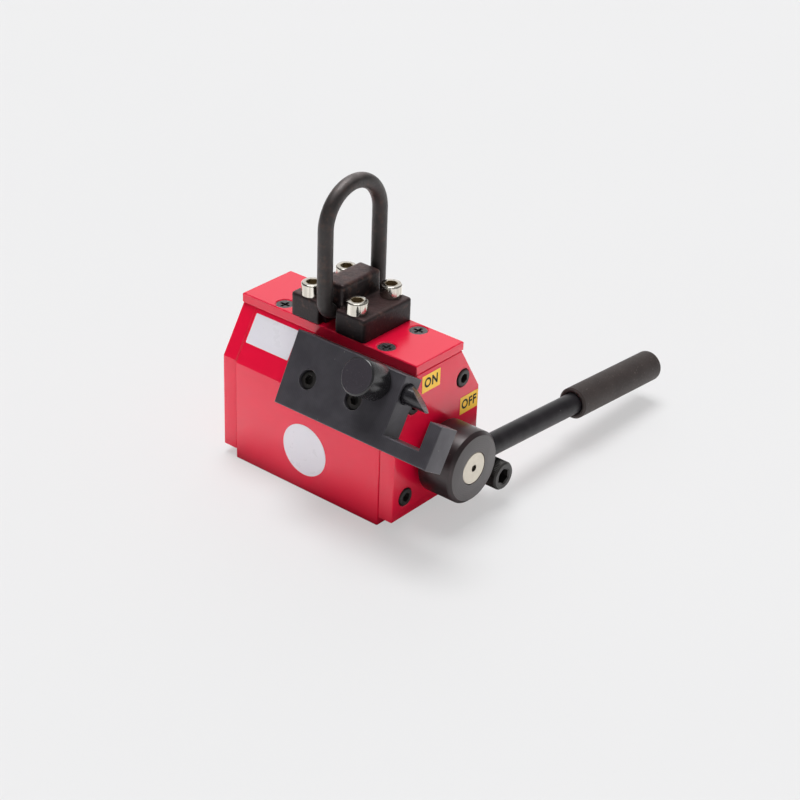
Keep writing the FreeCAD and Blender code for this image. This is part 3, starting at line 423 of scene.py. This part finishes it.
def vinyl_film(name, base, shade, roughness, sheen=0.5):
    """Self-adhesive vinyl: even colour, satin, with faint ripples where it was pressed on."""
    material, tree, shader, place = new_finish(name)
    cloud = add(tree, "ShaderNodeTexNoise", {"Vector": place, "Scale": 1 / (6 * MM), "Detail": 3.0})
    colour = add(tree, "ShaderNodeMix", {
        SHARE: cloud.outputs["Fac"], COLOUR_A: linear(base), COLOUR_B: linear(shade),
    }, data_type="RGBA")
    bump = add(tree, "ShaderNodeBump", {
        "Height": cloud.outputs["Fac"], "Strength": 0.1, "Distance": 0.05 * MM,
    })
    gloss = add(tree, "ShaderNodeMapRange", {
        "Value": cloud.outputs["Fac"], "From Min": 0.3, "From Max": 0.7,
        "To Min": roughness - 0.05, "To Max": roughness + 0.05,
    })
    connect(tree, shader, {
        "Base Color": colour.outputs[MIXED_COLOUR], "Roughness": gloss.outputs["Result"],
        "Normal": bump.outputs["Normal"], "Specular IOR Level": sheen,
    })
    return material


# Where the turned pieces' axes lie, read from the solids.
hub_low, hub_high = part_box("lever_hub")
hub_axis = (hub_low + hub_high) / 2
knob_low, knob_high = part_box("latch_knob")
knob_axis = (knob_low + knob_high) / 2
# Slant of the body's shoulders from upright, and how far the rod hangs below level.
SHOULDER = math.radians(31.5)
ROD_DROOP = math.radians(4.4)

# Milled from bar: faint straight tool lines under a dull grey-black.
milled_block = blackened_steel("milled and blackened steel", "#3D3B40", "#464449", 0.38, {
    "kind": "BANDS", "axis": "X", "pitch": 1.1 * MM, "centre": (0, 0, 0),
    "turn": (0, 0, 0), "strength": 0.10, "tone": 0.06,
}, sheen=0.3)
# Faced in a lathe: fine rings and a smoother end, with the end face painted lighter as painted light.
turned_knob = blackened_steel("faced and blackened steel", "#19181A", "#242325", 0.26, {
    "kind": "RINGS", "axis": "Z", "pitch": 1.0 * MM, "centre": knob_axis,
    "turn": (math.pi / 2 - SHOULDER, 0, 0), "strength": 0.12, "tone": 0.08,
}, grain_depth=0.08, faced=((0.0, -math.cos(SHOULDER), math.sin(SHOULDER)), "#403C42"))
# Turned drum whose oxide has gone brown: coarser rings, and an end face painted lighter as a painted
# reflection.
turned_hub = blackened_steel("turned steel with a brown black oxide", "#1C1214", "#291B1D", 0.34, {
    "kind": "RINGS", "axis": "X", "pitch": 1.2 * MM, "centre": hub_axis,
    "turn": (0, 0, 0), "strength": 0.3, "tone": 0.16,
}, bare="#8A7566", wear_width=0.5, faced=((1.0, 0.0, 0.0), "#373233"))
# Turned bar: lines round it all along, blue-black and low in sheen.
turned_rod = blackened_steel("turned and blued bar", "#1A181B", "#262326", 0.40, {
    "kind": "BANDS", "axis": "Y", "pitch": 1.2 * MM, "centre": hub_axis,
    "turn": (-ROD_DROOP, 0, 0), "strength": 0.35, "tone": 0.2,
}, sheen=0.2)
# Screws are matt, the bolt is smoother and bluer, and the sunk heads are grey and even.
black_oxide = blackened_steel("black oxide cap screws", "#191716", "#252220", 0.45, bare="#7D7A76")
ground_bolt = blackened_steel("ground and blued bolt steel", "#17161A", "#242327", 0.30, bare="#B4B2B0")
sunk_heads = blackened_steel("phosphated screw heads", "#353436", "#454446", 0.28)
# Forgings: brown-black scale, lighter on top from dust and a painted highlight, with rust that grows
# upward.
forged_block = forged_scale(
    "forged block under mill scale", "#140B0D", "#201416", "#5E4645",
    rust_start=108 * MM, rust_full=130 * MM, rust_share=0.6,
)
forged_bar = forged_scale(
    "bent bar under mill scale", "#221F1F", "#373231", "#8E8685",
    rust_start=90 * MM, rust_full=330 * MM, rust_share=0.3,
)
# Faced end of the shaft: bright, with fine rings.
faced_shaft = bright_metal("faced shaft steel", "#B5AFA3", "#A69F94", 0.36, 0.9 * MM, hub_axis, "X")
# Finish of each slot. The hidden metals are plain: plated magnets, a brass strip, bronze bushes.
FINISHES = {
    "red_paint": red_enamel(),
    "burnished_steel": milled_block,
    "forged_steel": forged_block,
    "black_screws": black_oxide,
    "stainless_screws": stainless_heads(),
    "bright_steel": faced_shaft,
    "magnet_plating": bright_metal("nickel plating", "#BDBBB4", "#A9A69E", 0.25),
    "pole_brass": bright_metal("cast brass strip", "#C9A24E", "#B58D3E", 0.3),
    "bearing_bronze": bright_metal("bearing bronze", "#B07A48", "#96653A", 0.32),
    "grip_rubber": grip_rubber(),
}
# Pieces that were finished apart from the rest of their slot.
OWN_FINISH = {
    "latch_knob": turned_knob,
    "latch_bolt": ground_bolt,
    "top_plate_screws": sunk_heads,
    "lever_hub": turned_hub,
    "lever_rod": turned_rod,
    "lifting_ring": forged_bar,
}
# Pieces shown by a copy and how much its sharp edges are broken, in millimetres.
BROKEN_EDGE = {
    "front_pole": 0.2, "rear_pole": 0.2, "left_end_plate": 0.2, "right_end_plate": 0.2, "top_plate": 0.0,
    "latch_block": 0.15, "latch_bolt": 0.1, "latch_knob": 0.2, "lever_hub": 0.15, "lever_rod": 0.0,
    "lifting_ring": 0.0, "saddle_block": 0.2, "lever_grip": 0.0, "drive_shaft": 0.0,
    "saddle_screws": 0.15, "left_end_screws": 0.1, "right_end_screws": 0.1,
    "latch_block_screws": 0.1, "top_plate_screws": 0.08, "latch_spring": 0.0,
}
behaviour = frame["record"]["behaviour"]
BODY_OF = {node: body for body, nodes in behaviour["bodies"].items() for node in nodes}
SLOT_OF = {row["node"]: row["material_slot"] for row in frame["record"]["subparts"]}
# Angles between faces: nearly flat, smooth to the eye, and sharp enough to break.
FLAT_UNDER = math.radians(0.2)
SMOOTH_UNDER = math.radians(20)
SHARP_OVER = math.radians(30)
# Corners closer than this are one corner.
WELD = 0.001 * MM


def finish_of(node):
    """A solid's own finish, or else that of its slot."""
    return OWN_FINISH.get(node, FINISHES[SLOT_OF[node]])


def show(name, bm, finish, body):
    """Make a piece of a bmesh: smooth where it is round, riding on its body."""
    mesh = bpy.data.meshes.new(name)
    bm.to_mesh(mesh)
    bm.free()
    if "custom_normal" in mesh.attributes:
        mesh.attributes.remove(mesh.attributes["custom_normal"])
    for face in mesh.polygons:
        face.use_smooth = True
    mesh.set_sharp_from_angle(angle=SMOOTH_UNDER)
    mesh.materials.append(finish)
    piece = bpy.data.objects.new(name, mesh)
    bpy.context.scene.collection.objects.link(piece)
    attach(piece, body)
    return piece


def dress(node, broken):
    """Merged copy of a solid with its sharp edges broken, in the solid's place."""
    bm = bmesh.new()
    bm.from_mesh(frame["nodes"][node].data)
    bmesh.ops.remove_doubles(bm, verts=bm.verts, dist=WELD)
    if broken:
        bmesh.ops.dissolve_limit(bm, angle_limit=FLAT_UNDER, verts=bm.verts, edges=bm.edges)
        sharp = [e for e in bm.edges if e.is_manifold and e.calc_face_angle() > SHARP_OVER]
        bmesh.ops.bevel(
            bm, geom=sharp, offset=broken * MM, offset_type="OFFSET", segments=2,
            profile=0.5, affect="EDGES", clamp_overlap=False, material=-1,
        )
    piece = show(f"{node}_dressed", bm, finish_of(node), BODY_OF[node])
    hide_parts(node)
    return piece


dressed = {}
for node, thing in frame["nodes"].items():
    if node in BROKEN_EDGE:
        dressed[node] = dress(node, BROKEN_EDGE[node])
    else:
        thing.data.materials.clear()
        thing.data.materials.append(finish_of(node))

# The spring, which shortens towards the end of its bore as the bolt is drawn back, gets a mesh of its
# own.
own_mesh(dressed["latch_spring"])


def set_on(bm, origin, across, up):
    """Stand a flat shape on a face: its X along one direction, its Y along another."""
    across = Vector(across)
    up = Vector(up)
    turn = Matrix((across, up, across.cross(up))).transposed().to_4x4()
    bm.transform(Matrix.Translation(origin) @ turn)


FILM = 0.12 * MM
# Letters: how far they stand out, height of a capital, its share of the font's size,
# and how the font is changed.
PRINT = FILM / 6
CAPITAL = 5.6 * MM
CAPITAL_SHARE = 0.73
CONDENSED = 0.88
SPACING = 1.12
BOLDER = 0.25 * MM
# Faces that carry a film, each as the way across it and the way up it.
SLOPE = (0.0, math.sin(SHOULDER), math.cos(SHOULDER))
RIGHT_FACE = (0, 1, 0), (0, 0, 1)
FRONT_SHOULDER = (1, 0, 0), SLOPE
FRONT_FACE = (1, 0, 0), (0, 0, 1)


def film_label(name, width, height, corner, finish, origin, face):
    """Rectangular film with slightly rounded corners, pressed on a face."""
    bm = bmesh.new()
    bmesh.ops.create_cube(bm, size=1.0)
    bmesh.ops.scale(bm, vec=(width, height, FILM), verts=bm.verts)
    bmesh.ops.translate(bm, vec=(0, 0, FILM / 2), verts=bm.verts)
    uprights = [e for e in bm.edges if abs(e.verts[0].co.z - e.verts[1].co.z) > FILM / 2]
    bmesh.ops.bevel(
        bm, geom=uprights, offset=corner, offset_type="OFFSET", segments=5,
        profile=0.5, affect="EDGES", material=-1,
    )
    set_on(bm, origin, *face)
    show(name, bm, finish, "housing")


def printed_word(name, word, finish, origin, face):
    """Word printed on a label: condensed sans letters a hair above the film."""
    curve = bpy.data.curves.new(name, "FONT")
    curve.body = word
    curve.size = CAPITAL / CAPITAL_SHARE
    curve.align_x = "CENTER"
    curve.align_y = "CENTER"
    curve.extrude = PRINT
    curve.offset = BOLDER
    curve.space_character = SPACING
    setting = bpy.data.objects.new(name + "_setting", curve)
    bpy.context.scene.collection.objects.link(setting)
    letters = bpy.data.meshes.new_from_object(setting)
    bpy.data.objects.remove(setting)
    bm = bmesh.new()
    bm.from_mesh(letters)
    bpy.data.meshes.remove(letters)
    bmesh.ops.remove_doubles(bm, verts=bm.verts, dist=WELD)
    bmesh.ops.scale(bm, vec=(CONDENSED, 1, 1), verts=bm.verts)
    bmesh.ops.translate(bm, vec=(0, 0, FILM), verts=bm.verts)
    set_on(bm, origin, *face)
    show(name, bm, finish, "housing")


# Satin films, and a flat black print that shines less.
yellow_film = vinyl_film("yellow vinyl film", "#FFCC22", "#FDC41A", 0.36)
white_film = vinyl_film("white vinyl film", "#E1DFE5", "#DBD9E1", 0.30)
black_print = vinyl_film("black screen print", "#0B0A09", "#12100E", 0.5, sheen=0.1)
end_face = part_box("right_end_plate")[1].x
pole_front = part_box("front_pole")[0].y
# Height at which the front shoulder begins to slant.
FOOT_HEIGHT = 61.75 * MM
shoulder_foot = Vector((0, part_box("right_end_plate")[0].y, FOOT_HEIGHT))

# Width and height of each film, the round of its corners, and the place of its middle.
ON_SIZE = 14.9 * MM, 10.1 * MM
ON_CENTRE = (end_face, -7.0 * MM, 81.1 * MM)
OFF_SIZE = 15.2 * MM, 10.5 * MM
OFF_CENTRE = (end_face, 26.9 * MM, 54.5 * MM)
YELLOW_CORNER = 0.3 * MM
film_label("on_label", *ON_SIZE, YELLOW_CORNER, yellow_film, ON_CENTRE, RIGHT_FACE)
printed_word("on_word", "ON", black_print, ON_CENTRE, RIGHT_FACE)
film_label("off_label", *OFF_SIZE, YELLOW_CORNER, yellow_film, OFF_CENTRE, RIGHT_FACE)
printed_word("off_word", "OFF", black_print, OFF_CENTRE, RIGHT_FACE)

WHITE_SIZE = 31.3 * MM, 17.3 * MM
WHITE_CORNER = 0.6 * MM
UP_THE_SLOPE = 20.15 * MM
ALONG_THE_BODY = -35.15 * MM
label_centre = shoulder_foot + Vector(SLOPE) * UP_THE_SLOPE + Vector((ALONG_THE_BODY, 0, 0))
film_label("shoulder_label", *WHITE_SIZE, WHITE_CORNER, white_film, label_centre, FRONT_SHOULDER)

DISC = 15.5 * MM
DISC_CENTRE = (-0.6 * MM, pole_front, 25.5 * MM)
disc = bmesh.new()
bmesh.ops.create_cone(disc, cap_ends=True, segments=96, radius1=DISC, radius2=DISC, depth=FILM)
bmesh.ops.translate(disc, vec=(0, 0, FILM / 2), verts=disc.verts)
set_on(disc, DISC_CENTRE, *FRONT_FACE)
show("front_disc", disc, white_film, "housing")


def outward(bm):
    """Turn the faces of one closed shell outward."""
    bmesh.ops.recalc_face_normals(bm, faces=bm.faces)
    if bm.calc_volume(signed=True) < 0:
        bmesh.ops.reverse_faces(bm, faces=bm.faces)


def stop_screw():
    """Cap screw with a knurled head, a hexagon socket and a rolled thread."""
    low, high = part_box("lever_stop_screw")
    head_radius = (high.y - low.y) / 2
    thread_radius = 5.0 * MM
    root_radius = 0.85 * thread_radius
    head_length = 2 * thread_radius
    top_radius = 0.9 * head_radius
    chamfer = 1.0 * MM
    mouth_radius = 5.2 * MM
    mouth_depth = 0.6 * MM
    half_key = 4.0 * MM
    socket_floor = 0.4 * head_length
    ridges = 52
    groove_share = 0.975

    def knurled(angle):
        return head_radius * (groove_share if round(angle * ridges / math.pi) % 2 else 1.0)

    def hexagon(angle):
        return half_key / math.cos((angle + math.pi / 6) % (math.pi / 3) - math.pi / 6)

    bm = bmesh.new()
    corners = bmesh.ops.create_circle(bm, segments=2 * ridges, radius=head_radius)["verts"]
    bmesh.ops.contextual_create(bm, geom=corners)
    loop = list(bm.edges)
    # Rings from the bearing face over the chamfer and the mouth down to the socket's floor.
    for radius, height in (
        (knurled, 0.0),
        (knurled, head_length - chamfer),
        (lambda angle: top_radius, head_length),
        (lambda angle: mouth_radius, head_length),
        (hexagon, head_length - mouth_depth),
        (hexagon, socket_floor),
    ):
        if height:
            grown = bmesh.ops.extrude_edge_only(bm, edges=loop)["geom"]
            corners = [g for g in grown if isinstance(g, bmesh.types.BMVert)]
            edges = [g for g in grown if isinstance(g, bmesh.types.BMEdge)]
            loop = [e for e in edges if set(e.verts) <= set(corners)]
        for corner in corners:
            angle = math.atan2(corner.co.y, corner.co.x)
            corner.co = (radius(angle) * math.cos(angle), radius(angle) * math.sin(angle), height)
    bmesh.ops.contextual_create(bm, geom=corners)
    outward(bm)
    # Thread of 1.5 mm pitch, one V profile wound down the shank from inside the head.
    pitch = 1.5 * MM
    steps = 24
    turns = round((high.x - low.x - head_length) / pitch)
    thread = bmesh.new()
    profile = [thread.verts.new((r, 0, z)) for r, z in (
        (thread_radius, pitch), (root_radius, pitch / 2), (thread_radius, 0),
    )]
    strand = [thread.edges.new(pair) for pair in zip(profile, profile[1:])]
    bmesh.ops.spin(
        thread, geom=profile + strand, cent=(0, 0, 0), axis=(0, 0, 1),
        dvec=(0, 0, -pitch / steps), angle=2 * math.pi * turns, steps=steps * turns,
    )
    bmesh.ops.remove_doubles(thread, verts=thread.verts, dist=0.01 * MM)
    open_edges = [e for e in thread.edges if e.is_boundary]
    bmesh.ops.holes_fill(thread, edges=open_edges, sides=0)
    outward(thread)
    shank = bpy.data.meshes.new("shank")
    thread.to_mesh(shank)
    thread.free()
    bm.from_mesh(shank)
    bpy.data.meshes.remove(shank)
    axis_y = (low.y + high.y) / 2
    axis_z = (low.z + high.z) / 2
    set_on(bm, (high.x - head_length, axis_y, axis_z), (0, 1, 0), (0, 0, 1))
    piece = show("lever_stop_screw_dressed", bm, black_oxide, "housing")
    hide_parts("lever_stop_screw")


stop_screw()


def studio_floor():
    """White paper floor: a smooth matt sheet, pale and even right up to the body."""
    half_width = 4.0
    drop = 0.05 * MM
    bm = bmesh.new()
    bmesh.ops.create_grid(bm, x_segments=1, y_segments=1, size=half_width)
    bmesh.ops.translate(bm, vec=(0, 0, -drop), verts=bm.verts)
    mesh = bpy.data.meshes.new("studio_floor")
    bm.to_mesh(mesh)
    bm.free()
    material, tree, shader, place = new_finish("white paper floor")
    # A trace of unevenness, about 400 mm across.
    cloud = add(tree, "ShaderNodeTexNoise", {"Vector": place, "Scale": 1 / (400 * MM), "Detail": 2.0})
    paper = add(tree, "ShaderNodeMix", {
        SHARE: cloud.outputs["Fac"], COLOUR_A: linear("#9C9C9D"), COLOUR_B: linear("#99999A"),
    }, data_type="RGBA")
    # The light that the paper throws back fades towards the foot of the body.
    shade_centre = (12 * MM, 5 * MM, 0)
    shade_half = (end_face + 6 * MM, 3 * MM - pole_front, 1.0)
    shifted = add(tree, "ShaderNodeVectorMath", {0: place, 1: shade_centre}, operation="SUBTRACT")
    spread = add(tree, "ShaderNodeVectorMath", {0: shifted.outputs["Vector"]}, operation="ABSOLUTE")
    beyond = add(tree, "ShaderNodeVectorMath", {
        0: spread.outputs["Vector"], 1: shade_half,
    }, operation="SUBTRACT")
    outside = add(tree, "ShaderNodeVectorMath", {
        0: beyond.outputs["Vector"], 1: (0, 0, 0),
    }, operation="MAXIMUM")
    gap = add(tree, "ShaderNodeVectorMath", {0: outside.outputs["Vector"]}, operation="LENGTH")
    open_floor = add(tree, "ShaderNodeMapRange", {
        "Value": gap.outputs["Value"], "From Min": 3 * MM, "From Max": 27 * MM,
    })
    thrown = add(tree, "ShaderNodeMix", {
        SHARE: open_floor.outputs["Result"], COLOUR_A: linear("#ABABAB"), COLOUR_B: linear("#FAFAFA"),
    }, data_type="RGBA")
    seen = add(tree, "ShaderNodeLightPath").outputs["Is Camera Ray"]
    tone = add(tree, "ShaderNodeMix", {
        SHARE: seen, COLOUR_A: thrown.outputs[MIXED_COLOUR], COLOUR_B: paper.outputs[MIXED_COLOUR],
    }, data_type="RGBA")
    # The paper is lit from below as well, as on a light table, so that the shadows stay soft and pale.
    glow_thrown = 0.4
    glow_seen = 0.46
    table = add(tree, "ShaderNodeMath", {
        0: open_floor.outputs["Result"], 1: glow_thrown,
    }, operation="MULTIPLY")
    through = add(tree, "ShaderNodeMix", {
        SHARE: seen, NUMBER_A: table.outputs["Value"], NUMBER_B: glow_seen,
    })
    connect(tree, shader, {
        "Base Color": tone.outputs[MIXED_COLOUR], "Roughness": 0.9, "Specular IOR Level": 0.1,
        "Emission Color": (1, 1, 1, 1), "Emission Strength": through.outputs[MIXED_NUMBER],
    })
    mesh.materials.append(material)
    floor = bpy.data.objects.new("studio_floor", mesh)
    bpy.context.scene.collection.objects.link(floor)


def studio_sky():
    """Room round the part: a grey wall, a dark side, a white reflector and a soft box overhead."""
    world = bpy.data.worlds.new("studio_sky")
    bpy.context.scene.world = world
    world.use_nodes = True
    tree = world.node_tree
    way = add(tree, "ShaderNodeTexCoord").outputs["Generated"]
    rise = add(tree, "ShaderNodeSeparateXYZ", {0: way}).outputs["Z"]
    wall = add(tree, "ShaderNodeMapRange", {
        "Value": rise, "From Min": 0.08, "From Max": 0.25, "To Min": 0.8, "To Max": 0.35,
    }, interpolation_type="SMOOTHSTEP")
    glow = wall.outputs["Result"]
    # Dark room at the front left, white reflector behind, soft box overhead:
    # the way to each, the angles where it is full and where it ends, and its radiance.
    for towards, full, end, radiance in (
        ((-0.70, -0.62, 0.34), 14, 38, 0.06),
        ((-0.55, 0.68, 0.49), 18, 30, 1.22),
        ((-0.18, 0.06, 0.98), 12, 19, 11.6),
    ):
        aim = Vector(towards).normalized()
        facing = add(tree, "ShaderNodeVectorMath", {0: way, 1: aim}, operation="DOT_PRODUCT")
        inside = add(tree, "ShaderNodeMapRange", {
            "Value": facing.outputs["Value"],
            "From Min": math.cos(math.radians(end)), "From Max": math.cos(math.radians(full)),
        }, interpolation_type="SMOOTHSTEP")
        glow = add(tree, "ShaderNodeMix", {
            SHARE: inside.outputs["Result"], NUMBER_A: glow, NUMBER_B: radiance,
        }).outputs[MIXED_NUMBER]
    # Straight ahead the room is as pale as the floor, so that no edge shows between them.
    pale = 0.87
    seen = add(tree, "ShaderNodeLightPath").outputs["Is Camera Ray"]
    shown = add(tree, "ShaderNodeMix", {SHARE: seen, NUMBER_A: glow, NUMBER_B: pale})
    connect(tree, tree.nodes["Background"], {
        "Strength": shown.outputs[MIXED_NUMBER], "Color": (1, 1, 1, 1),
    })


def photo_camera():
    """The photograph's camera, fitted to the corners of the body."""
    azimuth = math.radians(39.025)
    elevation = math.radians(29.368)
    roll = math.radians(2.097)
    eye = Vector((632.75, -735.99, 589.61)) * MM
    right = Vector((math.cos(azimuth), math.sin(azimuth), 0))
    back = Vector((
        math.sin(azimuth) * math.cos(elevation),
        -math.cos(azimuth) * math.cos(elevation),
        math.sin(elevation),
    ))
    up = back.cross(right)
    across = math.cos(roll) * right + math.sin(roll) * up
    upright = -math.sin(roll) * right + math.cos(roll) * up
    camera = bpy.data.objects.new("camera", bpy.data.cameras.new("camera"))
    camera.data.lens = 90.36
    camera.data.sensor_width = 36.0
    turn = Matrix((across, upright, back)).transposed().to_4x4()
    camera.matrix_world = Matrix.Translation(eye) @ turn
    bpy.context.scene.collection.objects.link(camera)
    bpy.context.scene.camera = camera


studio_floor()
studio_sky()
photo_camera()
bpy.context.scene.view_settings.view_transform = "Standard"
